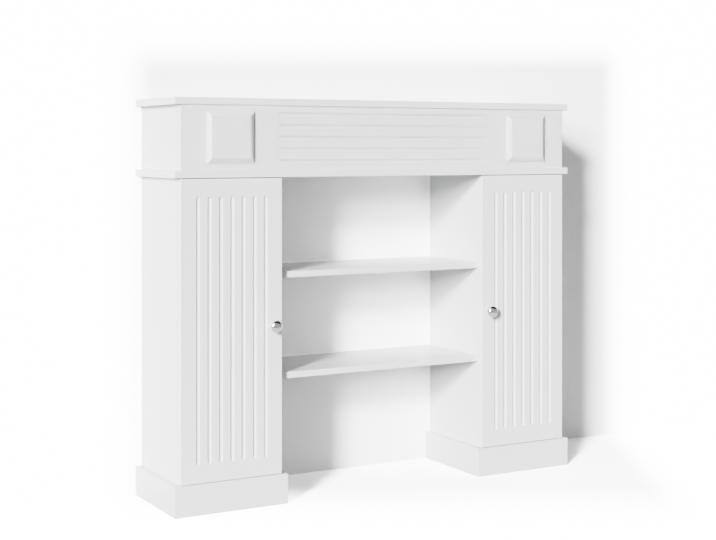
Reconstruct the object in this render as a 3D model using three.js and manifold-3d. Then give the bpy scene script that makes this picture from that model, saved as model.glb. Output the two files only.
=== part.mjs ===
// A white lacquered mantelpiece built from flat boards, in millimetres, +Z up. It stands on the floor with
// its front towards -Y and its back edges against the wall at +Y. Two square pillars on plinths are cabinets
// with fluted doors. They carry a frieze box between two boards, and two shelves run between them.

import * as THREE from "three";
import { mergeVertices } from "three/addons/utils/BufferGeometryUtils.js";
import { ConvexGeometry } from "three/addons/geometries/ConvexGeometry.js";
import Module from "manifold-3d";

const wasm = await Module();
wasm.setup();

// Overall sizes and heights
const boardWidth = 1164;
const boardDepth = 266;
const boardThickness = 18;
const totalHeight = 1000;
const friezeHeight = 158;
const plinthHeight = 75;

// Board work
const sideThickness = 16;
const overhang = 16;
const pillarWidth = 268;
const plinthLap = 15;
const frontReveal = 4;
const backPanelThickness = 3;
const backPanelInset = 3;

// Shelves, by the height of their upper faces
const shelfThickness = 16;
const shelfTops = { upper: 571.5, lower: 321 };

// Doors
const doorThickness = 18;
const doorBackGap = 2;
const doorTopGap = 1.2;
const doorBottomGap = 1.2;

// Routed grooves: a round-nosed cutter run along the face, so the ends are round too
const grooveWidth = 10;
const grooveDepth = 3.4;
const grooveFacets = 20;
const grooveCapFacets = 5;
const fluteCount = 7;
const flutePitch = 29.8;
const fluteInset = 44.3;
const friezeGrooveCount = 5;
const friezeGroovePitch = 29.1;
const friezeGrooveLength = 617;

// Raised blocks on the frieze
const blockSize = 124.5;
const blockFromEnd = 143.5;
const blockLift = 1.5;
const blockEdge = 5.5;
const blockRise = 6;
const blockBevel = 11;

// Knobs
const knobRadius = 15.5;
const knobReach = 25;
const knobFromEdge = 23;
const knobFootRadius = 7;
const knobFootEdge = 1;
const knobNeckRadius = 5;
const knobRimHeight = 16.5;
const knobRimRound = 2.5;
const knobFaceRadius = 6.5;
const knobFaceDome = 0.6;
const knobFacets = 32;

// Door pivots: a steel pin in the top and bottom edges, turning in blind sockets
const pivotInset = 6;
const pinRadius = 3;
const pinClearance = 0.3;
const pinInDoor = 20;
const pinInTopBoard = 10;
const pinInPlinth = 12;
const socketSpareDepth = 0.5;
const collarRadius = 6;
const topCollar = 0.9;
const bottomCollar = 1;
const pinFacets = 16;
const cutterOvershoot = 1;

// Planes that several pieces share
const halfWidth = boardWidth / 2;
const outerPlane = halfWidth - overhang;
const innerPlane = outerPlane - pillarWidth;
const plinthInnerPlane = innerPlane - plinthLap;
const knobAhead = knobReach - frontReveal;
const frontPlane = knobAhead - (boardDepth + knobAhead) / 2;
const backPlane = frontPlane + boardDepth;
const doorFront = frontPlane + frontReveal;
const doorBack = doorFront + doorThickness;
const carcassFront = doorBack + doorBackGap;
const topBoardBottom = totalHeight - boardThickness;
const lowerBoardTop = topBoardBottom - friezeHeight;
const lowerBoardBottom = lowerBoardTop - boardThickness;
const doorTop = lowerBoardBottom - doorTopGap;
const doorBottom = plinthHeight + doorBottomGap;
const doorMiddle = (doorTop + doorBottom) / 2;
const friezeMiddle = (lowerBoardTop + topBoardBottom) / 2;
const pivotX = outerPlane - pivotInset;
const pivotY = doorFront + pivotInset;

// Finishes
const lacquer = { color: 0xeff0f1, roughness: 0.38, metalness: 0 };
const whiteHardboard = { color: 0xe6e5e1, roughness: 0.6, metalness: 0 };
const polishedChrome = { color: 0xd9dadc, roughness: 0.14, metalness: 1 };
const plainSteel = { color: 0xa4a7aa, roughness: 0.35, metalness: 1 };

const mantelpiece = new THREE.Group();

function addPiece(name, geometry, finish) {
  const piece = new THREE.Mesh(geometry, new THREE.MeshStandardMaterial(finish));
  piece.name = name;
  mantelpiece.add(piece);
}

// A board between two opposite corners, given as low and high values along X, Y and Z.
function board([x0, x1], [y0, y1], [z0, z1]) {
  const geometry = new THREE.BoxGeometry(x1 - x0, y1 - y0, z1 - z0);
  return geometry.translate((x0 + x1) / 2, (y0 + y1) / 2, (z0 + z1) / 2);
}

// A span between two distances from the middle plane, on the left (side -1) or the right (side +1).
function sideSpan(side, near, far) {
  return side < 0 ? [-far, -near] : [near, far];
}

// The closed solid of a geometry: corners are merged, and triangles shrunk to a line are dropped.
function solidOf(geometry) {
  const bare = geometry.clone();
  bare.deleteAttribute("normal");
  bare.deleteAttribute("uv");
  const merged = mergeVertices(bare);
  const corners = merged.index.array;
  const kept = [];
  for (let i = 0; i < corners.length; i += 3) {
    const [a, b, c] = corners.slice(i, i + 3);
    if (a !== b && b !== c && c !== a) kept.push(a, b, c);
  }
  const vertProperties = new Float32Array(merged.attributes.position.array);
  const triVerts = new Uint32Array(kept);
  return new wasm.Manifold(new wasm.Mesh({ numProp: 3, vertProperties, triVerts }));
}

// The geometry left when every cutter is taken away from the blank.
function cut(blank, cutters) {
  const left = cutters.reduce((solid, cutter) => solid.subtract(solidOf(cutter)), solidOf(blank));
  const mesh = left.getMesh();
  const geometry = new THREE.BufferGeometry();
  geometry.setAttribute("position", new THREE.BufferAttribute(mesh.vertProperties, 3));
  geometry.setIndex(new THREE.BufferAttribute(mesh.triVerts, 1));
  geometry.computeVertexNormals();
  return geometry;
}

// The cutter of one groove, lying along Y with its round ends: a rod whose lowest line is grooveDepth below
// a face at z = 0 and which is grooveWidth wide where it meets that face.
function grooveCutter(length) {
  const radius = (grooveWidth ** 2 / 4 + grooveDepth ** 2) / (2 * grooveDepth);
  const straight = length - grooveWidth;
  const rod = new THREE.CapsuleGeometry(radius, straight, grooveCapFacets, grooveFacets);
  return rod.translate(0, 0, radius - grooveDepth);
}

// Offsets of a centred row of grooves.
function grooveRow(count, pitch) {
  return Array.from({ length: count }, (_, i) => (i - (count - 1) / 2) * pitch);
}

// A turned piece: the profile's points are [radius, height] from the foot up, and the axis is +Z.
function turned(profile, facets) {
  const points = profile.map(([radius, height]) => new THREE.Vector2(radius, height));
  return new THREE.LatheGeometry(points, facets).rotateX(Math.PI / 2);
}

// A blind socket for a pivot pin, between two heights.
function pivotSocket(side, z0, z1) {
  const radius = pinRadius + pinClearance;
  const socket = turned([[0, z0], [radius, z0], [radius, z1], [0, z1]], pinFacets);
  return socket.translate(side * pivotX, pivotY, 0);
}

// Top board, and the lower board with the sockets of the two upper pivot pins
const fullWidth = [-halfWidth, halfWidth];
const fullDepth = [frontPlane, backPlane];
addPiece("mantel_top_board", board(fullWidth, fullDepth, [topBoardBottom, totalHeight]), lacquer);

const lowerBlank = board(fullWidth, fullDepth, [lowerBoardBottom, lowerBoardTop]);
const upperSocketTop = lowerBoardBottom + pinInTopBoard + socketSpareDepth;
const upperSocketMouth = lowerBoardBottom - cutterOvershoot;
const upperSockets = [-1, 1].map((side) => pivotSocket(side, upperSocketMouth, upperSocketTop));
addPiece("lower_board", cut(lowerBlank, upperSockets), lacquer);

// Frieze front with its long grooves, which run along X
const friezeRise = [lowerBoardTop, topBoardBottom];
const friezeBlank = board([-outerPlane, outerPlane], [doorFront, doorBack], friezeRise);
const friezeGrooves = grooveRow(friezeGrooveCount, friezeGroovePitch).map((offset) => {
  const cutter = grooveCutter(friezeGrooveLength).rotateX(Math.PI / 2).rotateY(Math.PI / 2);
  return cutter.translate(0, doorFront, friezeMiddle + offset);
});
addPiece("frieze_front", cut(friezeBlank, friezeGrooves), lacquer);

// A raised block: a square slab with an upright edge, then a bevel that rises to a flat square field. It
// sits a little above the middle of the frieze.
function friezeBlock(centreX) {
  const centreZ = friezeMiddle + blockLift;
  const outlines = [
    [blockSize / 2, doorFront],
    [blockSize / 2, doorFront - blockEdge],
    [blockSize / 2 - blockBevel, doorFront - blockEdge - blockRise],
  ];
  const corners = outlines.flatMap(([half, y]) =>
    [[-1, -1], [1, -1], [1, 1], [-1, 1]].map(
      ([sx, sz]) => new THREE.Vector3(centreX + sx * half, y, centreZ + sz * half),
    ),
  );
  return new ConvexGeometry(corners);
}

// A plinth board: its plan outline, with mitred ends where it meets its neighbour, carried up.
function plinthBoard(outline) {
  const plan = new THREE.Shape(outline.map(([x, y]) => new THREE.Vector2(x, y)));
  return new THREE.ExtrudeGeometry(plan, { depth: plinthHeight, bevelEnabled: false });
}

// The fluted door, with holes in its ends for the pivot pins. The flutes run along Z.
function door(side) {
  const blank = board(sideSpan(side, innerPlane, outerPlane), [doorFront, doorBack], [doorBottom, doorTop]);
  const doorCentre = (side * (innerPlane + outerPlane)) / 2;
  const flutes = grooveRow(fluteCount, flutePitch).map((offset) => {
    const cutter = grooveCutter(doorTop - doorBottom - 2 * fluteInset).rotateX(Math.PI / 2);
    return cutter.translate(doorCentre + offset, doorFront, doorMiddle);
  });
  const pinHoles = [
    pivotSocket(side, doorBottom - cutterOvershoot, doorBottom + pinInDoor),
    pivotSocket(side, doorTop - pinInDoor, doorTop + cutterOvershoot),
  ];
  return cut(blank, [...flutes, ...pinHoles]);
}

// A pivot pin: a plain rod with one collar, [low, high] being the heights of each.
function pivotPin(side, rod, collar) {
  const profile = [
    [0, rod[0]],
    [pinRadius, rod[0]],
    [pinRadius, collar[0]],
    [collarRadius, collar[0]],
    [collarRadius, collar[1]],
    [pinRadius, collar[1]],
    [pinRadius, rod[1]],
    [0, rod[1]],
  ];
  return turned(profile, pinFacets).translate(side * pivotX, pivotY, 0);
}

// A turned knob on the door's face: a small foot, a waisted neck and a round head with a nearly flat face.
// The head's rim is a quarter round from its underside to its widest line, and the shoulder curves in from
// there to the face.
function knob(side) {
  const faceEdge = knobReach - knobFaceDome;
  const neckTop = knobRimHeight - knobRimRound;
  const neck = [0, 0.25, 0.5, 0.75, 1].map((t) => [
    knobNeckRadius + (knobFootRadius - knobNeckRadius) * (2 * t - 1) ** 2,
    knobFootEdge + t * (neckTop - 2 * knobFootEdge),
  ]);
  const rim = [-90, -45, 0].map((degrees) => {
    const angle = THREE.MathUtils.degToRad(degrees);
    return [
      knobRadius - knobRimRound + knobRimRound * Math.cos(angle),
      knobRimHeight + knobRimRound * Math.sin(angle),
    ];
  });
  const shoulder = [20, 40, 60, 90].map((degrees) => {
    const angle = THREE.MathUtils.degToRad(degrees);
    return [
      knobFaceRadius + (knobRadius - knobFaceRadius) * Math.cos(angle),
      knobRimHeight + (faceEdge - knobRimHeight) * Math.sin(angle),
    ];
  });
  const profile = [[0, 0], [knobFootRadius, 0], ...neck, ...rim, ...shoulder, [0, knobReach]];
  const knobX = side * (innerPlane + knobFromEdge);
  return turned(profile, knobFacets).rotateX(Math.PI / 2).translate(knobX, doorFront, doorMiddle);
}

// Frieze box: an end board behind the frieze front, and a raised block on its face.
function addFriezeEnd(name, side) {
  const across = sideSpan(side, outerPlane - sideThickness, outerPlane);
  addPiece(`frieze_end_${name}`, board(across, [doorBack, backPlane], friezeRise), lacquer);
  addPiece(`frieze_block_${name}`, friezeBlock(side * (halfWidth - blockFromEnd)), lacquer);
}

// Pillar: two sides that stand on the base board and carry the lower board, and a thin back let in between.
function addPillar(name, side) {
  const outerInside = outerPlane - sideThickness;
  const innerInside = innerPlane + sideThickness;
  const panelBack = backPlane - backPanelInset;
  const rise = [plinthHeight, lowerBoardBottom];
  const pieces = [
    ["outer_side", [outerInside, outerPlane], [carcassFront, backPlane], lacquer],
    ["inner_side", [innerPlane, innerInside], [carcassFront, backPlane], lacquer],
    ["back", [innerInside, outerInside], [panelBack - backPanelThickness, panelBack], whiteHardboard],
  ];
  for (const [piece, [near, far], depth, finish] of pieces) {
    addPiece(`${name}_pillar_${piece}`, board(sideSpan(side, near, far), depth, rise), finish);
  }
}

// Plinth: three boards mitred at the front corners round the base board, which is flush with their top.
function addPlinth(name, side) {
  const inside = plinthInnerPlane + sideThickness;
  const behindFront = frontPlane + sideThickness;
  const frontOutline = [
    [side * plinthInnerPlane, frontPlane],
    [side * halfWidth, frontPlane],
    [side * outerPlane, behindFront],
    [side * inside, behindFront],
  ];
  const outerOutline = [
    [side * halfWidth, frontPlane],
    [side * halfWidth, backPlane],
    [side * outerPlane, backPlane],
    [side * outerPlane, behindFront],
  ];
  const innerOutline = [
    [side * plinthInnerPlane, frontPlane],
    [side * plinthInnerPlane, backPlane],
    [side * inside, backPlane],
    [side * inside, behindFront],
  ];
  const socketBottom = plinthHeight - pinInPlinth - socketSpareDepth;
  const socket = pivotSocket(side, socketBottom, plinthHeight + cutterOvershoot);
  addPiece(`${name}_plinth_front`, cut(plinthBoard(frontOutline), [socket]), lacquer);
  addPiece(`${name}_plinth_outer`, plinthBoard(outerOutline), lacquer);
  addPiece(`${name}_plinth_inner`, plinthBoard(innerOutline), lacquer);

  const baseRise = [plinthHeight - sideThickness, plinthHeight];
  const baseBoard = board(sideSpan(side, inside, outerPlane), [behindFront, backPlane], baseRise);
  addPiece(`${name}_pillar_base_board`, baseBoard, lacquer);
}

// Door with its knob and the two pivot pins that it turns on. The lower pin's collar carries the door.
function addDoor(name, side) {
  const topRod = [doorTop - pinInDoor, lowerBoardBottom + pinInTopBoard];
  const topPin = pivotPin(side, topRod, [doorTop, doorTop + topCollar]);
  const bottomRod = [plinthHeight - pinInPlinth, doorBottom + pinInDoor];
  const bottomPin = pivotPin(side, bottomRod, [doorBottom - bottomCollar, doorBottom]);
  addPiece(`${name}_door`, door(side), lacquer);
  addPiece(`${name}_knob`, knob(side), polishedChrome);
  addPiece(`${name}_pivot_pin_top`, topPin, plainSteel);
  addPiece(`${name}_pivot_pin_bottom`, bottomPin, plainSteel);
}

for (const [name, side] of [["left", -1], ["right", 1]]) {
  addFriezeEnd(name, side);
  addPillar(name, side);
  addPlinth(name, side);
  addDoor(name, side);
}

// Shelves between the pillars' inner sides
for (const [name, top] of Object.entries(shelfTops)) {
  const rise = [top - shelfThickness, top];
  addPiece(`${name}_shelf`, board([-innerPlane, innerPlane], [carcassFront, backPlane], rise), lacquer);
}

export default mantelpiece;
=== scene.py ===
import math

import bpy
import numpy as np
from mathutils import Matrix, Vector


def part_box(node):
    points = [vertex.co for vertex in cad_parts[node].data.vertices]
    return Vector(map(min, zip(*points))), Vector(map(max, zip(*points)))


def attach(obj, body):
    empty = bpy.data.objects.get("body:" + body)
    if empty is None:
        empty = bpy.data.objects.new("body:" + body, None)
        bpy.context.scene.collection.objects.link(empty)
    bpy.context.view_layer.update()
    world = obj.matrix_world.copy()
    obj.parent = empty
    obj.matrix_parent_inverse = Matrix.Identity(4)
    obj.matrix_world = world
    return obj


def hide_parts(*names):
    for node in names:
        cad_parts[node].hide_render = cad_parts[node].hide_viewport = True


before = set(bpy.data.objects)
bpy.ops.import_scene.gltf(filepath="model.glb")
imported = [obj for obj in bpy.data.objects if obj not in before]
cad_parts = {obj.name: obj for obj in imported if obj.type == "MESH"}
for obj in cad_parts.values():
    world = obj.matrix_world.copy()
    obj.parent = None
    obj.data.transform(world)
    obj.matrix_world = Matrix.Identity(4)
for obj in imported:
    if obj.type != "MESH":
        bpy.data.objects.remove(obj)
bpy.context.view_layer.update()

# Plinths: three 16 mm fibreboard strips mitred round the foot of each pillar and glued. The mitres are
# filled and sanded before spraying, so the lacquer runs round both corners with no joint showing.
EDGE_ROUND = 0.0012
ARC_STEPS = 4
SAME_POINT = 1e-7
PLINTH_BOARD = 0.016
LACQUER_TONE = (0.768, 0.77, 0.773, 1.0)
LACQUER_DRIFT = (0.752, 0.755, 0.759, 1.0)
LACQUER_GLOSS = 0.3
LACQUER_CLOUD = 0.12
LACQUER_PEEL = 420.0
LACQUER_PEEL_DEPTH = 1.4e-5
LACQUER_IOR = 1.5
TONE_SCALE = 3.1
CLOUD_SCALE = 17.0


def outline_samples(corners, stops=()):
    """A closed outline with square corners, anticlockwise from above: corner, mitre, spread and normal.

    Every corner gives ARC_STEPS + 1 samples. The mitre is the sum of its two sides' normals. Round an
    outer corner the spread and the normal turn together from one side's normal to the other's. In an inner
    corner the spread is the mitre, and the normal is that of the nearer side. Stops are further samples
    along the first side, which runs along X.
    """
    corners = np.array(corners, float)
    sides = np.roll(corners, -1, axis=0) - corners
    along = sides / np.linalg.norm(sides, axis=1, keepdims=True)
    before = np.roll(along, 1, axis=0)
    leaving = np.stack([along[:, 1], -along[:, 0]], axis=1)
    arriving = np.roll(leaving, 1, axis=0)
    turn = np.linspace(0, math.pi / 2, ARC_STEPS + 1)[:, None]
    arc = arriving[:, None] * np.cos(turn) + leaving[:, None] * np.sin(turn)
    mitre = np.broadcast_to((arriving + leaving)[:, None], arc.shape)
    inner = (before[:, 0] * along[:, 1] < before[:, 1] * along[:, 0])[:, None, None]
    nearer = np.where(turn < math.pi / 4, arriving[:, None], leaving[:, None])
    corner = np.broadcast_to(corners[:, None], arc.shape)
    rows = [corner, mitre, np.where(inner, mitre, arc), np.where(inner, nearer, arc)]
    samples = np.stack(rows).reshape(4, -1, 2)
    facing = np.broadcast_to(leaving[0], (len(stops), 2))
    places = np.stack([np.array(stops), np.full(len(stops), corners[0, 1])], axis=1)
    extra = np.stack([places, facing, facing, facing])
    first = ARC_STEPS + 1
    return np.concatenate([samples[:, :first], extra, samples[:, first:]], axis=1)


def slab_levels(bottom, top, rounding, stops=()):
    """Rows of inset, height and tilt up a slab: a quarter turn at each edge, with stops on the upright."""
    quarter = np.linspace(0, math.pi / 2, ARC_STEPS + 1)
    low = np.full(ARC_STEPS + 1, bottom + rounding)
    high = np.full(ARC_STEPS + 1, top - rounding)
    tilt = np.concatenate([quarter - math.pi / 2, np.zeros(len(stops)), quarter])
    height = np.concatenate([low, np.array(stops), high])
    return np.stack([np.full(len(tilt), -rounding), height, tilt])


def carry(outline, levels, rounding):
    """Points and normals of an outline carried up through its levels.

    In plan a point is corner + inset * mitre + rounding * cos(tilt) * spread, and it stands at
    height + rounding * sin(tilt). Its normal is cos(tilt) * the outline's normal, rising by sin(tilt).
    """
    corner, mitre, spread, normal = outline
    inset, height, tilt = levels[..., None, None]
    plan = corner + inset * mitre + rounding * np.cos(tilt) * spread
    rise = np.broadcast_to(height + rounding * np.sin(tilt), plan[..., :1].shape)
    lift = np.broadcast_to(np.sin(tilt), rise.shape)
    points = np.concatenate([plan, rise], axis=-1)
    return points, np.concatenate([np.cos(tilt) * normal, lift], axis=-1)


def ring_caps(points):
    """The first and last rows as two faces that close the ends, one facing down and one facing up."""
    rows, columns = points.shape[:2]
    ring = np.arange(columns)[None]
    return [ring[:, ::-1], ring + (rows - 1) * columns]


def fan_caps(points):
    """The same two ends as fans of triangles from the last corner, for rows with many samples in line."""
    rows, columns = points.shape[:2]
    ring = np.arange(columns - 1)
    fan = np.stack([np.full(columns - 2, columns - 1), ring[:-1], ring[1:]], axis=1)
    return [fan[:, ::-1], fan + (rows - 1) * columns]


def add_piece(name, points, normals, caps, material):
    """Puts rows of points, closed round, into a mesh with its exact normals.

    Points that fall together are made one, and corners that fall together are left out of their face.
    """
    rows, columns = points.shape[:2]
    sample = np.arange(rows * columns).reshape(rows, columns)
    ahead = np.roll(sample, -1, axis=1)
    sides = np.stack([sample[:-1], ahead[:-1], ahead[1:], sample[1:]], axis=-1).reshape(-1, 4)
    places = points.reshape(-1, 3)
    grid = np.round(places / SAME_POINT)
    _, kept, shared = np.unique(grid, axis=0, return_index=True, return_inverse=True)
    shared = shared.reshape(-1)
    corners = []
    lengths = []
    for faces in [sides, *caps]:
        apart = shared[faces] != np.roll(shared[faces], -1, axis=1)
        whole = apart.sum(axis=1) > 2
        corners.append(faces[whole][apart[whole]])
        lengths.append(apart[whole].sum(axis=1))
    corners = np.concatenate(corners)
    lengths = np.concatenate(lengths)

    mesh = bpy.data.meshes.new(name)
    mesh.vertices.add(len(kept))
    mesh.vertices.foreach_set("co", places[kept].ravel())
    mesh.loops.add(len(corners))
    mesh.loops.foreach_set("vertex_index", shared[corners])
    mesh.polygons.add(len(lengths))
    mesh.polygons.foreach_set("loop_start", np.cumsum(lengths) - lengths)
    mesh.polygons.foreach_set("use_smooth", np.ones(len(lengths), bool))
    mesh.update(calc_edges=True)
    mesh.normals_split_custom_set(normals.reshape(-1, 3)[corners])
    mesh.materials.append(material)
    piece = bpy.data.objects.new(name, mesh)
    bpy.context.scene.collection.objects.link(piece)
    return piece


def add_node(tree, kind, inputs, **settings):
    """A shader node. Each input is a number, a colour, or the socket that feeds it."""
    node = tree.nodes.new(kind)
    for name, value in settings.items():
        setattr(node, name, value)
    for name, value in inputs.items():
        if isinstance(value, bpy.types.NodeSocket):
            tree.links.new(value, node.inputs[name])
        else:
            node.inputs[name].default_value = value
    return node


def new_group(name, inputs, outputs):
    """An empty shader node group with its named sockets, and its input and output nodes."""
    group = bpy.data.node_groups.new(name, "ShaderNodeTree")
    for label, kind in inputs.items():
        group.interface.new_socket(label, in_out="INPUT", socket_type=f"NodeSocket{kind}")
    for label, kind in outputs.items():
        group.interface.new_socket(label, in_out="OUTPUT", socket_type=f"NodeSocket{kind}")
    return group, group.nodes.new("NodeGroupInput"), group.nodes.new("NodeGroupOutput")


def sprayed_coat_group():
    """A sprayed coat: orange peel as a height, cloudy gloss, and a slow drift from one tone to another."""
    wanted = {"Tone": "Color", "Drift": "Color", "Gloss": "Float", "Cloud": "Float", "Peel": "Float"}
    group, given, result = new_group(
        "sprayed_coat", wanted, {"Color": "Color", "Roughness": "Float", "Height": "Float"}
    )
    place = group.nodes.new("ShaderNodeTexCoord").outputs["Object"]
    slow = add_node(group, "ShaderNodeTexNoise", {"Vector": place, "Scale": TONE_SCALE, "Detail": 2.0})
    tone = add_node(
        group,
        "ShaderNodeMix",
        {"Factor": slow.outputs["Fac"], "A": given.outputs["Tone"], "B": given.outputs["Drift"]},
        data_type="RGBA",
    )
    cloud = add_node(group, "ShaderNodeTexNoise", {"Vector": place, "Scale": CLOUD_SCALE, "Detail": 3.0})
    spread = add_node(
        group,
        "ShaderNodeMath",
        {0: cloud.outputs["Fac"], 1: given.outputs["Cloud"], 2: given.outputs["Gloss"]},
        operation="MULTIPLY_ADD",
    )
    peel = add_node(
        group, "ShaderNodeTexNoise", {"Vector": place, "Scale": given.outputs["Peel"], "Detail": 1.0}
    )
    group.links.new(tone.outputs["Result"], result.inputs["Color"])
    group.links.new(spread.outputs["Value"], result.inputs["Roughness"])
    group.links.new(peel.outputs["Fac"], result.inputs["Height"])
    return group


def finish_material(name, group, inputs, bump_depth, **constants):
    """A Principled material fed by a finish group's colour, roughness and height."""
    material = bpy.data.materials.new(name)
    material.use_nodes = True
    tree = material.node_tree
    shader = tree.nodes["Principled BSDF"]
    coat = tree.nodes.new("ShaderNodeGroup")
    coat.node_tree = group
    for label, value in inputs.items():
        coat.inputs[label].default_value = value
    bump = add_node(tree, "ShaderNodeBump", {"Height": coat.outputs["Height"], "Distance": bump_depth})
    tree.links.new(coat.outputs["Color"], shader.inputs["Base Color"])
    tree.links.new(coat.outputs["Roughness"], shader.inputs["Roughness"])
    tree.links.new(bump.outputs["Normal"], shader.inputs["Normal"])
    for label, value in constants.items():
        shader.inputs[label.replace("_", " ")].default_value = value
    return material


white_lacquer = finish_material(
    "white_lacquer",
    sprayed_coat_group(),
    {
        "Tone": LACQUER_TONE,
        "Drift": LACQUER_DRIFT,
        "Gloss": LACQUER_GLOSS,
        "Cloud": LACQUER_CLOUD,
        "Peel": LACQUER_PEEL,
    },
    bump_depth=LACQUER_PEEL_DEPTH,
    IOR=LACQUER_IOR,
)


def rectangle(low, high):
    """A board's plan outline between two opposite corners, starting with its front side."""
    return [(low[0], low[1]), (high[0], low[1]), (high[0], high[1]), (low[0], high[1])]


def add_board(node, material=white_lacquer, rounding=EDGE_ROUND):
    """A plain board in the place of a node, with all its edges rounded."""
    low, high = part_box(node)
    outline = outline_samples(rectangle(low, high))
    points, normals = carry(outline, slab_levels(low.z, high.z, rounding), rounding)
    piece = add_piece(f"finished_{node}", points, normals, ring_caps(points), material)
    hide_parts(node)
    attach(piece, "carcass")
    return piece


for side in ("left", "right"):
    nodes = [f"{side}_plinth_{strip}" for strip in ("front", "outer", "inner")]
    low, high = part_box(nodes[0])
    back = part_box(nodes[1])[1].y
    inner_front = low.y + PLINTH_BOARD
    inner_left = low.x + PLINTH_BOARD
    inner_right = high.x - PLINTH_BOARD
    plinth_outline = [
        (low.x, low.y),
        (high.x, low.y),
        (high.x, back),
        (inner_right, back),
        (inner_right, inner_front),
        (inner_left, inner_front),
        (inner_left, back),
        (low.x, back),
    ]
    outline = outline_samples(plinth_outline)
    points, normals = carry(outline, slab_levels(low.z, high.z, EDGE_ROUND), EDGE_ROUND)
    plinth = add_piece(f"{side}_plinth_frame", points, normals, ring_caps(points), white_lacquer)
    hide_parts(*nodes)
    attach(plinth, "carcass")

# Pillars: a base board let in flush with the plinth's top, and two 16 mm sides that stand on it, all
# fibreboard sprayed white. They are glued and dowelled to the base board and to the board above.
for side in ("left", "right"):
    add_board(f"{side}_pillar_base_board")
    add_board(f"{side}_pillar_outer_side")
    add_board(f"{side}_pillar_inner_side")

# Pillar backs: 3 mm hardboard, matt white, slid in between the sides. The press screen leaves a fine mesh
# of dimples on it.
BACK_EDGE = 0.0003
BACK_TONE = (0.76, 0.752, 0.725, 1.0)
BACK_DRIFT = (0.72, 0.71, 0.68, 1.0)
BACK_DULLNESS = (0.55, 0.8)
SCREEN_PITCH = 0.0022
SCREEN_DEPTH = 4e-5
FLECK_SCALE = 160.0


def pressed_fibre_group():
    """Pressed fibre: two crossed ripples as the screen's mark, and short flecks that shift the tone."""
    group, given, result = new_group(
        "pressed_fibre",
        {"Tone": "Color", "Drift": "Color"},
        {"Color": "Color", "Roughness": "Float", "Height": "Float"},
    )
    place = group.nodes.new("ShaderNodeTexCoord").outputs["Object"]
    split = add_node(group, "ShaderNodeSeparateXYZ", {"Vector": place})
    ripples = []
    for axis in ("X", "Z"):
        turns = {0: split.outputs[axis], 1: 2 * math.pi / SCREEN_PITCH}
        phase = add_node(group, "ShaderNodeMath", turns, operation="MULTIPLY")
        ripples.append(add_node(group, "ShaderNodeMath", {0: phase.outputs["Value"]}, operation="SINE"))
    mesh_mark = add_node(
        group,
        "ShaderNodeMath",
        {0: ripples[0].outputs["Value"], 1: ripples[1].outputs["Value"]},
        operation="MULTIPLY",
    )
    flecks = add_node(group, "ShaderNodeTexNoise", {"Vector": place, "Scale": FLECK_SCALE, "Detail": 4.0})
    tone = add_node(
        group,
        "ShaderNodeMix",
        {"Factor": flecks.outputs["Fac"], "A": given.outputs["Tone"], "B": given.outputs["Drift"]},
        data_type="RGBA",
    )
    dull = add_node(
        group,
        "ShaderNodeMapRange",
        {"Value": flecks.outputs["Fac"], "To Min": BACK_DULLNESS[0], "To Max": BACK_DULLNESS[1]},
    )
    group.links.new(tone.outputs["Result"], result.inputs["Color"])
    group.links.new(dull.outputs["Result"], result.inputs["Roughness"])
    group.links.new(mesh_mark.outputs["Value"], result.inputs["Height"])
    return group


white_hardboard = finish_material(
    "white_hardboard",
    pressed_fibre_group(),
    {"Tone": BACK_TONE, "Drift": BACK_DRIFT},
    bump_depth=SCREEN_DEPTH,
)
for side in ("left", "right"):
    add_board(f"{side}_pillar_back", white_hardboard, BACK_EDGE)

# Lower board: one 18 mm fibreboard, sprayed white, laid across both pillars and dowelled to their sides.
# It stands out past them at the front and the ends as a ledge.
add_board("lower_board")

# Frieze: an 18 mm front with five long grooves, run with a round-nosed cutter that stops short of the
# blocks, and two end boards behind it. The box stands on the lower board and is open at the back.
GROOVE_WIDTH = 0.010
GROOVE_DEPTH = 0.0034
GROOVE_LIP = 0.0005
GROOVE_RIM = 0.6 * GROOVE_LIP
HOLLOW_STOPS = 10
RIM_STOPS = 7
END_STOPS = 16
STRAIGHT_STOPS = 13
CUTTER_RADIUS = (GROOVE_WIDTH**2 / 4 + GROOVE_DEPTH**2) / (2 * GROOVE_DEPTH)
FRIEZE_GROOVES = 5
FRIEZE_PITCH = 0.0291
FRIEZE_GROOVE_LENGTH = 0.617


def groove_profile(distance):
    """Depth at a distance from a groove's middle line, and the depth's slope along that distance.

    The cutter leaves sqrt(radius^2 - distance^2) - (radius - depth), carried on straight past the rim. The
    lacquer eases the rim: between -lip and lip that value v becomes (v + lip)^2 / (4 * lip), and 0 below.
    """
    near = np.minimum(distance, GROOVE_WIDTH / 2)
    below_axis = np.sqrt(CUTTER_RADIUS**2 - near**2)
    slope = -near / below_axis
    sharp = below_axis - (CUTTER_RADIUS - GROOVE_DEPTH) + slope * (distance - near)
    eased = np.clip(sharp + GROOVE_LIP, 0, 2 * GROOVE_LIP)
    depth = np.where(sharp > GROOVE_LIP, sharp, eased**2 / (4 * GROOVE_LIP))
    return depth, slope * eased / (2 * GROOVE_LIP)


def groove_stops():
    """Distances from a groove's middle line to sample it at, close together round the rim."""
    half = GROOVE_WIDTH / 2
    hollow = np.linspace(0, half - GROOVE_RIM, HOLLOW_STOPS)[:-1]
    return np.concatenate([hollow, np.linspace(half - GROOVE_RIM, half + GROOVE_RIM, RIM_STOPS)])


def across_stops(middles):
    """Places across a row of grooves: every stop on both sides of each middle line."""
    stops = groove_stops()
    both = np.concatenate([-stops[:0:-1], stops])
    return (np.array(middles)[:, None] + both).ravel()


def along_stops(middle, straight):
    """Places along a groove: evenly through both round ends, and a few on the straight between."""
    reach = GROOVE_WIDTH / 2 + GROOVE_LIP
    end = np.linspace(0, reach, END_STOPS)
    length = np.linspace(-straight / 2, straight / 2, STRAIGHT_STOPS)[1:-1]
    return middle + np.concatenate([-straight / 2 - end[::-1], length, straight / 2 + end])


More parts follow.
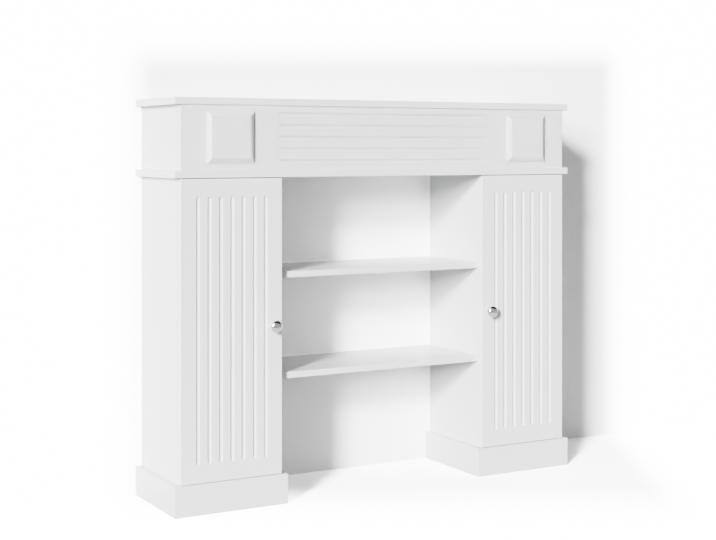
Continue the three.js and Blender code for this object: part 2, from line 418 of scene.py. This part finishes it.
def row_of(count, pitch, middle):
    """The middle lines of an evenly spaced row."""
    return middle + (np.arange(count) - (count - 1) / 2) * pitch


def grooved_face(points, normals, places, heights, offsets):
    """Sinks grooves into the front of a carried outline, where its stops are.

    Offsets give each groove's distance across and along, past its straight part, for every stop. The face
    moves back by the depth there, and the normal is (slope across X, -1, slope along Z), made unit length.
    """
    from_x, from_z = offsets
    distance = np.maximum(np.hypot(from_x, from_z), SAME_POINT)
    depth, slope = groove_profile(distance)
    lean_x = (slope * from_x / distance).sum(axis=-1)
    lean_z = (slope * from_z / distance).sum(axis=-1)
    normal = np.stack([lean_x, np.full(lean_x.shape, -1.0), lean_z], axis=-1)
    first = ARC_STEPS + 1
    rows = slice(first, first + len(heights))
    columns = slice(first, first + len(places))
    points[rows, columns, 1] += depth.sum(axis=-1)
    normals[rows, columns] = normal / np.linalg.norm(normal, axis=-1, keepdims=True)


def past_end(offset, straight):
    """How far an offset along a groove lies past the end of its straight part, with its sign."""
    return np.sign(offset) * np.maximum(np.abs(offset) - straight / 2, 0)


low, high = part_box("frieze_front")
middle = (low + high) / 2
straight = FRIEZE_GROOVE_LENGTH - GROOVE_WIDTH
groove_heights = row_of(FRIEZE_GROOVES, FRIEZE_PITCH, middle.z)
places = along_stops(middle.x, straight)
heights = across_stops(groove_heights)
outline = outline_samples(rectangle(low, high), places)
points, normals = carry(outline, slab_levels(low.z, high.z, EDGE_ROUND, heights), EDGE_ROUND)
from_x = np.broadcast_to(
    past_end(places - middle.x, straight)[None, :, None], (len(heights), len(places), FRIEZE_GROOVES)
)
from_z = np.broadcast_to(heights[:, None, None] - groove_heights, from_x.shape)
grooved_face(points, normals, places, heights, (from_x, from_z))
frieze = add_piece("grooved_frieze_front", points, normals, fan_caps(points), white_lacquer)
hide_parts("frieze_front")
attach(frieze, "carcass")
for side in ("left", "right"):
    add_board(f"frieze_end_{side}")

# Frieze blocks: square fibreboard blocks glued to the frieze over the pillars. An upright edge runs round
# each, and a bevel rises from it to a flat square field.
BLOCK_EDGE = 0.0055
BLOCK_RISE = 0.006
BLOCK_BEVEL = 0.011
BLOCK_ROUND = 0.0009


def block_levels():
    """Rows of inset, height and tilt from a block's back, up its edge and over the bevel to its field.

    Each rounded edge turns about a line that lies one rounding inside both of the faces it joins.
    """
    bevel_tilt = math.atan2(BLOCK_BEVEL, BLOCK_RISE)
    first = np.linspace(0, bevel_tilt, ARC_STEPS + 1)
    second = np.linspace(bevel_tilt, math.pi / 2, ARC_STEPS + 1)
    edge_height = BLOCK_EDGE - BLOCK_ROUND * math.tan(bevel_tilt / 2)
    field_inset = -BLOCK_BEVEL - BLOCK_ROUND * (1 - math.sin(bevel_tilt)) / math.cos(bevel_tilt)
    field_height = BLOCK_EDGE + BLOCK_RISE - BLOCK_ROUND
    counts = [1, len(first), len(second)]
    inset = np.repeat([-BLOCK_ROUND, -BLOCK_ROUND, field_inset], counts)
    height = np.repeat([0, edge_height, field_height], counts)
    return np.stack([inset, height, np.concatenate([[0], first, second])])


def facing_front(vectors, place=(0, 0, 0)):
    """Turns what was made lying on its back to face the front, its own height coming out along -Y."""
    across, up, out = np.moveaxis(vectors, -1, 0)
    return np.stack([across + place[0], place[1] - out, up + place[2]], axis=-1)


frieze_blocks = []
for side in ("left", "right"):
    node = f"frieze_block_{side}"
    low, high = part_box(node)
    half = (high.x - low.x) / 2
    outline = outline_samples(rectangle((-half, -half), (half, half)))
    points, normals = carry(outline, block_levels(), BLOCK_ROUND)
    glued = np.broadcast_to([0.0, 0.0, -1.0], normals[:1].shape)
    place = ((low.x + high.x) / 2, high.y, (low.z + high.z) / 2)
    points = facing_front(np.concatenate([points[:1], points]), place)
    normals = facing_front(np.concatenate([glued, normals]))
    block = add_piece(f"bevelled_{node}", points, normals, ring_caps(points), white_lacquer)
    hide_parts(node)
    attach(block, "carcass")
    frieze_blocks.append(block)

# Mantel top: one 18 mm fibreboard, sprayed white, laid over the frieze box and dowelled to it from inside.
# It has the same overhang as the lower board.
add_board("mantel_top_board")

# Shelves: two 16 mm fibreboards, sprayed white, set between the pillars' inner sides and dowelled into
# them at both ends. They reach back as far as the pillars do.
for shelf in ("upper_shelf", "lower_shelf"):
    add_board(shelf)

# Doors: 18 mm fibreboard, each with seven upright flutes from the same cutter as the frieze's grooves.
# Each swings on pivot pins near its outer edge, with a narrow gap above and below.
FLUTES = 7
FLUTE_PITCH = 0.0298
FLUTE_INSET = 0.0443

for side in ("left", "right"):
    node = f"{side}_door"
    low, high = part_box(node)
    middle = (low + high) / 2
    straight = high.z - low.z - 2 * FLUTE_INSET - GROOVE_WIDTH
    flute_places = row_of(FLUTES, FLUTE_PITCH, middle.x)
    places = across_stops(flute_places)
    heights = along_stops(middle.z, straight)
    outline = outline_samples(rectangle(low, high), places)
    points, normals = carry(outline, slab_levels(low.z, high.z, EDGE_ROUND, heights), EDGE_ROUND)
    from_x = np.broadcast_to(places[None, :, None] - flute_places, (len(heights), len(places), FLUTES))
    from_z = np.broadcast_to(past_end(heights - middle.z, straight)[:, None, None], from_x.shape)
    grooved_face(points, normals, places, heights, (from_x, from_z))
    door = add_piece(f"fluted_{node}", points, normals, fan_caps(points), white_lacquer)
    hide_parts(node)
    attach(door, node)

# Knobs: turned brass, chrome plated and polished, one screwed to each door from behind. A small foot and
# a waisted neck carry a domed head with a rolled rim.
KNOB_FOOT_RADIUS = 0.007
KNOB_FOOT_EDGE = 0.001
KNOB_NECK_RADIUS = 0.005
KNOB_RIM_HEIGHT = 0.0165
KNOB_RIM_ROUND = 0.0025
KNOB_DOME_POWER = 2.1
KNOB_COLUMNS = 64
KNOB_NECK_STEPS = 13
KNOB_RIM_STEPS = 9
KNOB_DOME_STEPS = 40
CHROME_TONE = (0.78, 0.785, 0.79, 1.0)
CHROME_DRIFT = (0.74, 0.745, 0.755, 1.0)
CHROME_STRETCH = (90.0, 3000.0, 90.0)
CHROME_GLOSS = 0.07
CHROME_MARKS = 0.06
CHROME_MARK_DEPTH = 4e-7
HAZE_SCALE = 140.0


def turned_metal_group():
    """Turned metal: fine marks round the axis, in height and gloss, and a haze in the tone.

    The marks are a noise whose coordinates are stretched most along the axis.
    """
    wanted = {"Tone": "Color", "Drift": "Color", "Stretch": "Vector", "Gloss": "Float", "Marks": "Float"}
    group, given, result = new_group(
        "turned_metal", wanted, {"Color": "Color", "Roughness": "Float", "Height": "Float"}
    )
    place = group.nodes.new("ShaderNodeTexCoord").outputs["Object"]
    stretched = add_node(
        group, "ShaderNodeVectorMath", {0: place, 1: given.outputs["Stretch"]}, operation="MULTIPLY"
    )
    marks = add_node(
        group, "ShaderNodeTexNoise", {"Vector": stretched.outputs["Vector"], "Scale": 1.0, "Detail": 3.0}
    )
    haze = add_node(group, "ShaderNodeTexNoise", {"Vector": place, "Scale": HAZE_SCALE, "Detail": 2.0})
    tone = add_node(
        group,
        "ShaderNodeMix",
        {"Factor": haze.outputs["Fac"], "A": given.outputs["Tone"], "B": given.outputs["Drift"]},
        data_type="RGBA",
    )
    dulled = add_node(
        group,
        "ShaderNodeMath",
        {0: marks.outputs["Fac"], 1: given.outputs["Marks"], 2: given.outputs["Gloss"]},
        operation="MULTIPLY_ADD",
    )
    group.links.new(tone.outputs["Result"], result.inputs["Color"])
    group.links.new(dulled.outputs["Value"], result.inputs["Roughness"])
    group.links.new(marks.outputs["Fac"], result.inputs["Height"])
    return group


def turned(profile, columns):
    """Points and normals of a profile turned round Z: each part is radii and heights that run on smoothly.

    A part's normals lie square to its own run, so that the edge between two parts stays crisp.
    """
    radius = np.concatenate([part[0] for part in profile])
    height = np.concatenate([part[1] for part in profile])
    out = np.concatenate([np.gradient(part[1]) for part in profile])
    up = np.concatenate([-np.gradient(part[0]) for part in profile])
    length = np.maximum(np.hypot(out, up), SAME_POINT**2)
    angle = np.linspace(0, 2 * math.pi, columns, endpoint=False)
    spokes = np.stack([np.cos(angle), np.sin(angle), np.zeros(columns)], axis=-1)
    axis = np.array([0.0, 0.0, 1.0])
    points = radius[:, None, None] * spokes + height[:, None, None] * axis
    return points, (out / length)[:, None, None] * spokes + (up / length)[:, None, None] * axis


def knob_profile(radius, reach):
    """The knob from its foot up: foot, neck, underside, rim and dome.

    The neck's radius swells with the square of the distance from its middle. The dome is a superellipse,
    (r / radius)^power + (h / rise)^power = 1, above the rim's widest line.
    """
    rim_bottom = KNOB_RIM_HEIGHT - KNOB_RIM_ROUND
    neck_top = rim_bottom - KNOB_FOOT_EDGE
    along = np.linspace(0, 1, KNOB_NECK_STEPS)
    neck = KNOB_NECK_RADIUS + (KNOB_FOOT_RADIUS - KNOB_NECK_RADIUS) * (2 * along - 1) ** 2
    quarter = np.linspace(0, math.pi / 2, KNOB_RIM_STEPS)
    rim_middle = radius - KNOB_RIM_ROUND
    rim_radii = rim_middle + KNOB_RIM_ROUND * np.sin(quarter)
    dome = np.linspace(0, math.pi / 2, KNOB_DOME_STEPS)
    curve = 2 / KNOB_DOME_POWER
    rise = reach - KNOB_RIM_HEIGHT
    return [
        (np.array([0, KNOB_FOOT_RADIUS]), np.zeros(2)),
        (np.full(2, KNOB_FOOT_RADIUS), np.array([0, KNOB_FOOT_EDGE])),
        (neck, KNOB_FOOT_EDGE + along * (neck_top - KNOB_FOOT_EDGE)),
        (np.array([KNOB_FOOT_RADIUS, rim_middle]), np.array([neck_top, rim_bottom])),
        (rim_radii, KNOB_RIM_HEIGHT - KNOB_RIM_ROUND * np.cos(quarter)),
        (radius * np.cos(dome).clip(0) ** curve, KNOB_RIM_HEIGHT + rise * np.sin(dome) ** curve),
    ]


turned_metal = turned_metal_group()
polished_chrome = finish_material(
    "polished_chrome",
    turned_metal,
    {
        "Tone": CHROME_TONE,
        "Drift": CHROME_DRIFT,
        "Stretch": CHROME_STRETCH,
        "Gloss": CHROME_GLOSS,
        "Marks": CHROME_MARKS,
    },
    bump_depth=CHROME_MARK_DEPTH,
    Metallic=1.0,
)
for side in ("left", "right"):
    node = f"{side}_knob"
    low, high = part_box(node)
    points, normals = turned(knob_profile((high.z - low.z) / 2, high.y - low.y), KNOB_COLUMNS)
    place = ((low.x + high.x) / 2, high.y, (low.z + high.z) / 2)
    points = facing_front(points, place)
    knob = add_piece(f"turned_{node}", points, facing_front(normals), [], polished_chrome)
    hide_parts(node)
    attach(knob, f"{side}_door")

# Pivot pins: plain turned steel, pressed into the ends of the door. The collar keeps the door off the
# board, and the pin's nose turns in a blind socket.
PIN_RADIUS = 0.003
PIN_CHAMFER = 0.0004
PIN_COLUMNS = 32
TOP_COLLAR = 0.0009
BOTTOM_COLLAR = 0.001
STEEL_TONE = (0.5, 0.51, 0.52, 1.0)
STEEL_DRIFT = (0.4, 0.405, 0.41, 1.0)
STEEL_STRETCH = (90.0, 90.0, 4000.0)
STEEL_GLOSS = 0.24
STEEL_MARKS = 0.2
STEEL_MARK_DEPTH = 3e-6


def pin_profile(bottom, top, collar, collar_radius):
    """A rod with chamfered ends and a collar between two heights, as straight runs."""
    corners = [
        (0, bottom),
        (PIN_RADIUS - PIN_CHAMFER, bottom),
        (PIN_RADIUS, bottom + PIN_CHAMFER),
        (PIN_RADIUS, collar[0]),
        (collar_radius, collar[0]),
        (collar_radius, collar[1]),
        (PIN_RADIUS, collar[1]),
        (PIN_RADIUS, top - PIN_CHAMFER),
        (PIN_RADIUS - PIN_CHAMFER, top),
        (0, top),
    ]
    radii, heights = np.array(corners, float).T
    return [(radii[run : run + 2], heights[run : run + 2]) for run in range(len(corners) - 1)]


pivot_steel = finish_material(
    "pivot_steel",
    turned_metal,
    {
        "Tone": STEEL_TONE,
        "Drift": STEEL_DRIFT,
        "Stretch": STEEL_STRETCH,
        "Gloss": STEEL_GLOSS,
        "Marks": STEEL_MARKS,
    },
    bump_depth=STEEL_MARK_DEPTH,
    Metallic=1.0,
)
for side in ("left", "right"):
    door_low, door_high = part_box(f"{side}_door")
    collars = {
        "top": (door_high.z, door_high.z + TOP_COLLAR),
        "bottom": (door_low.z - BOTTOM_COLLAR, door_low.z),
    }
    for end, collar in collars.items():
        node = f"{side}_pivot_pin_{end}"
        low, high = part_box(node)
        points, normals = turned(pin_profile(low.z, high.z, collar, (high.x - low.x) / 2), PIN_COLUMNS)
        points = points + np.array([(low.x + high.x) / 2, (low.y + high.y) / 2, 0])
        pin = add_piece(f"turned_{node}", points, normals, [], pivot_steel)
        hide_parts(node)
        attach(pin, f"{side}_door")

# Studio: a matt white floor and a plain white backdrop that stands just behind the back edges. Away from
# the object both fade to pure white through a painted glow that only the camera sees. The backdrop is left
# out behind the pillars and the frieze, and shows from the front only, so the object's back is lit and
# seen too.
FLOOR_REACH = 1.7
BACKDROP_REACH = 8.0
BACKDROP_HEIGHT = 6.0
BACKDROP_GAP = 0.0003
BACKDROP_NEAR = 0.002
FLOOR_SEEN = 2.1
FLOOR_MIRRORED = 0.5
FLOOR_BOUNCE = 0.27
BACKDROP_SEEN = 1.32
BACKDROP_MIRRORED = 1.32
BACKDROP_BOUNCE = 0.6
# The fade: a painted glow that rises outside a turned and tilted box round the object.
FADE_TURN = 29.4
FADE_TILT = -3.65
FADE_LOW = (-0.53, -0.05, -1.0)
FADE_HIGH = (0.72, 2.0, 1.075)
FADE_WIDTH = (0.15, 0.5, 0.15)
FADE_GLOW = 10.0


def add_stage(name, points, faces, material):
    """A flat stage piece from its corners and faces."""
    mesh = bpy.data.meshes.new(name)
    mesh.from_pydata(points, [], faces)
    mesh.materials.append(material)
    piece = bpy.data.objects.new(name, mesh)
    bpy.context.scene.collection.objects.link(piece)
    return piece


def painted_glow_strength(tree):
    """Painted glow that rises outside a box, in each direction over that direction's width.

    The box is turned about Z, so that its sides run away from the front view, and tilted to follow that
    view's perspective.
    """
    tilt = Matrix.Rotation(math.radians(FADE_TILT), 3, "X")
    turn = tilt @ Matrix.Rotation(math.radians(FADE_TURN), 3, "Z")
    place = tree.nodes.new("ShaderNodeTexCoord").outputs["Object"]
    mapped = add_node(tree, "ShaderNodeMapping", {"Vector": place, "Rotation": turn.to_euler()})
    place = mapped.outputs["Vector"]
    steps = [
        ("SUBTRACT", [(low + high) / 2 for low, high in zip(FADE_LOW, FADE_HIGH)]),
        ("ABSOLUTE", None),
        ("SUBTRACT", [(high - low) / 2 for low, high in zip(FADE_LOW, FADE_HIGH)]),
        ("MAXIMUM", (0, 0, 0)),
        ("DIVIDE", FADE_WIDTH),
    ]
    for operation, operand in steps:
        inputs = {0: place} if operand is None else {0: place, 1: operand}
        place = add_node(tree, "ShaderNodeVectorMath", inputs, operation=operation).outputs["Vector"]
    away = add_node(tree, "ShaderNodeVectorMath", {0: place}, operation="LENGTH").outputs["Value"]
    fade = add_node(
        tree,
        "ShaderNodeMapRange",
        {"Value": away, "To Max": FADE_GLOW},
        interpolation_type="SMOOTHSTEP",
    )
    return fade.outputs["Result"]


def stage_material(name, seen, mirrored, bounce, one_sided):
    """A matt white surface, clear from behind if it is one-sided.

    The camera sees it with one brightness, with the fade's painted glow on top, glossy surfaces mirror it
    with another, and it throws light back on the object with a third. A one-sided surface is clear to
    short rays too, so that light from behind reaches the edges just in front of it.
    """
    material = bpy.data.materials.new(name)
    material.use_nodes = True
    tree = material.node_tree
    tree.nodes.clear()
    plain, bright, mirror = [
        add_node(tree, "ShaderNodeBsdfDiffuse", {"Color": (white, white, white, 1)}).outputs["BSDF"]
        for white in (bounce, seen, mirrored)
    ]
    # The fade's painted glow: emission that only the camera sees, brightening the stage away from the
    # object.
    glow = add_node(tree, "ShaderNodeEmission", {"Strength": painted_glow_strength(tree)}).outputs["Emission"]
    shown = add_node(tree, "ShaderNodeAddShader", {0: bright, 1: glow}).outputs["Shader"]
    ray = tree.nodes.new("ShaderNodeLightPath").outputs
    surface = add_node(tree, "ShaderNodeMixShader", {0: ray["Is Camera Ray"], 1: plain, 2: shown})
    surface = add_node(
        tree, "ShaderNodeMixShader", {0: ray["Is Glossy Ray"], 1: surface.outputs["Shader"], 2: mirror}
    ).outputs["Shader"]
    if one_sided:
        behind = tree.nodes.new("ShaderNodeNewGeometry").outputs["Backfacing"]
        reach = {0: ray["Ray Length"], 1: BACKDROP_NEAR}
        near = add_node(tree, "ShaderNodeMath", reach, operation="LESS_THAN").outputs["Value"]
        either = add_node(tree, "ShaderNodeMath", {0: behind, 1: near}, operation="MAXIMUM")
        clear = tree.nodes.new("ShaderNodeBsdfTransparent").outputs["BSDF"]
        sides = {0: either.outputs["Value"], 1: surface, 2: clear}
        surface = add_node(tree, "ShaderNodeMixShader", sides).outputs["Shader"]
    add_node(tree, "ShaderNodeOutputMaterial", {"Surface": surface})
    return material


back_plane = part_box("mantel_top_board")[1].y + BACKDROP_GAP
floor_corners = [(-1, -1), (1, -1), (1, 1), (-1, 1)]
floor_points = [(FLOOR_REACH * x, FLOOR_REACH * y, 0) for x, y in floor_corners]
floor_white = stage_material("floor_white", FLOOR_SEEN, FLOOR_MIRRORED, FLOOR_BOUNCE, False)
floor = add_stage("floor", floor_points, [(0, 1, 2, 3)], floor_white)

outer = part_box("right_pillar_outer_side")
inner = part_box("right_pillar_inner_side")
hidden_x = ((inner[0].x + inner[1].x) / 2, (outer[0].x + outer[1].x) / 2)
hidden_z = [sum(corner.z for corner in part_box(node)) / 2 for node in ("lower_board", "mantel_top_board")]
lines_x = [-BACKDROP_REACH, -hidden_x[1], -hidden_x[0], hidden_x[0], hidden_x[1], BACKDROP_REACH]
lines_z = [0, *hidden_z, BACKDROP_HEIGHT]
left_out = {(1, 0), (3, 0), (1, 1), (2, 1), (3, 1)}
backdrop_points = [(x, back_plane, z) for z in lines_z for x in lines_x]
columns = len(lines_x)
cells = [(column, row) for row in range(len(lines_z) - 1) for column in range(columns - 1)]
firsts = [row * columns + column for column, row in cells if (column, row) not in left_out]
backdrop_faces = [(first, first + 1, first + columns + 1, first + columns) for first in firsts]
backdrop_white = stage_material(
    "backdrop_white", BACKDROP_SEEN, BACKDROP_MIRRORED, BACKDROP_BOUNCE, True
)
add_stage("backdrop", backdrop_points, backdrop_faces, backdrop_white)

# Light: two wide key lamps far off at the front left, one above the other, with others for the floor and
# the frieze alone, and a weak panel in front. Glossy surfaces mirror a grey room with a softbox and a dark
# ceiling. It is brighter behind the backdrop, for the object's back. Filmic tones keep the whites apart.
LAMP_ANGLE = 9
UPPER_DIRECTION = (-1.23, -1.0, 0.6)
UPPER_STRENGTH = 4.9
LOWER_DIRECTION = (-1.23, -1.0, 0.3)
LOWER_STRENGTH = 2.0
FRIEZE_DIRECTION = (-1.23, -1.0, 0.28)
FRIEZE_STRENGTH = 4.55
FLOOR_DIRECTION = (-1.23, -1.0, 0.4)
FLOOR_STRENGTH = 7.0
PANEL_DIRECTION = (0.0, -0.87, 0.5)
PANEL_EDGES = (0.86, 0.96)
PANEL_STRENGTH = 0.95
SOFTBOX_DIRECTION = (-0.67, -0.61, 0.42)
SOFTBOX_EDGES = (0.87, 0.95)
SOFTBOX_SEEN = 4.0
DARK_DIRECTION = (0.45, 0.0, 0.89)
DARK_EDGES = (0.5, 0.72)
BEHIND_DIRECTION = (0.0, 1.0, 0.0)
BEHIND_EDGES = (0.0, 0.3)
ROOM_GREY = 0.42
ROOM_DARK = 0.05
ROOM_BEHIND = 1.6
ROOM_SEEN = 10.0


def add_lamp(name, direction, strength):
    """A wide lamp far off in a direction."""
    lamp = bpy.data.lights.new(name, "SUN")
    lamp.energy = strength
    lamp.angle = math.radians(LAMP_ANGLE)
    lamp_object = bpy.data.objects.new(name, lamp)
    lamp_object.rotation_euler = Vector(direction).to_track_quat("Z", "Y").to_euler()
    bpy.context.scene.collection.objects.link(lamp_object)
    return lamp_object


def link_lamp(lamp_object, pieces, state):
    """Makes a lamp light only these pieces, or all but these, as the state says."""
    linked = bpy.data.collections.new(lamp_object.name)
    for piece in pieces:
        linked.objects.link(piece)
    for entry in linked.collection_objects:
        entry.light_linking.link_state = state
    lamp_object.light_linking.receiver_collection = linked


frieze_pieces = [frieze, *frieze_blocks]
upper_key = add_lamp("upper_key", UPPER_DIRECTION, UPPER_STRENGTH)
link_lamp(upper_key, frieze_pieces, "EXCLUDE")
add_lamp("lower_key", LOWER_DIRECTION, LOWER_STRENGTH)
link_lamp(add_lamp("frieze_lamp", FRIEZE_DIRECTION, FRIEZE_STRENGTH), frieze_pieces, "INCLUDE")
link_lamp(add_lamp("floor_lamp", FLOOR_DIRECTION, FLOOR_STRENGTH), [floor], "INCLUDE")

room = bpy.data.worlds.new("room")
room.use_nodes = True
room_tree = room.node_tree
toward = room_tree.nodes.new("ShaderNodeTexCoord").outputs["Generated"]
ray = room_tree.nodes.new("ShaderNodeLightPath").outputs


def room_part(direction, edges, low, high):
    """Light that goes smoothly from low to high as the cosine to a direction passes from edge to edge."""
    pair = {0: toward, 1: direction}
    cosine = add_node(room_tree, "ShaderNodeVectorMath", pair, operation="DOT_PRODUCT")
    ends = {"From Min": edges[0], "From Max": edges[1], "To Min": low, "To Max": high}
    part = add_node(
        room_tree,
        "ShaderNodeMapRange",
        {"Value": cosine.outputs["Value"], **ends},
        interpolation_type="SMOOTHSTEP",
    )
    return part.outputs["Result"]


def room_math(operation, *values):
    """The values multiplied, or added, as the operation says."""
    inputs = dict(enumerate(values))
    return add_node(room_tree, "ShaderNodeMath", inputs, operation=operation).outputs["Value"]


walls = room_part(DARK_DIRECTION, DARK_EDGES, ROOM_GREY, ROOM_DARK)
softbox = room_part(SOFTBOX_DIRECTION, SOFTBOX_EDGES, 0.0, SOFTBOX_SEEN)
mirrored = room_math("MULTIPLY", room_math("ADD", walls, softbox), ray["Is Glossy Ray"])
panel = room_part(PANEL_DIRECTION, PANEL_EDGES, 0.0, PANEL_STRENGTH)
thrown = room_math("MULTIPLY", panel, ray["Is Diffuse Ray"])
behind = room_part(BEHIND_DIRECTION, BEHIND_EDGES, 0.0, ROOM_BEHIND)
light = room_math("ADD", room_math("ADD", mirrored, thrown), behind)
seen = {"Factor": ray["Is Camera Ray"], "A": light, "B": ROOM_SEEN}
strength = add_node(room_tree, "ShaderNodeMix", seen)
background = room_tree.nodes["Background"]
background.inputs["Color"].default_value = (1, 1, 1, 1)
room_tree.links.new(strength.outputs["Result"], background.inputs["Strength"])
bpy.context.scene.world = room
bpy.context.scene.view_settings.view_transform = "Filmic"
bpy.context.scene.view_settings.look = "High Contrast"

# Camera: level, at about the height of the frieze. It stands to the left and is turned to the right, with
# the lens shifted down so that the uprights stay upright.
CAMERA_PLACE = (-1.8185, -3.2001, 0.8766)
CAMERA_TURN = 29.384
CAMERA_LENS = 69.975
CAMERA_SENSOR = 36.0
CAMERA_SHIFT = -0.16959

camera = bpy.data.cameras.new("camera")
camera.lens = CAMERA_LENS
camera.sensor_width = CAMERA_SENSOR
camera.shift_y = CAMERA_SHIFT
camera_object = bpy.data.objects.new("camera", camera)
camera_object.location = CAMERA_PLACE
camera_object.rotation_euler = (math.pi / 2, 0, -math.radians(CAMERA_TURN))
bpy.context.scene.collection.objects.link(camera_object)
bpy.context.scene.camera = camera_object
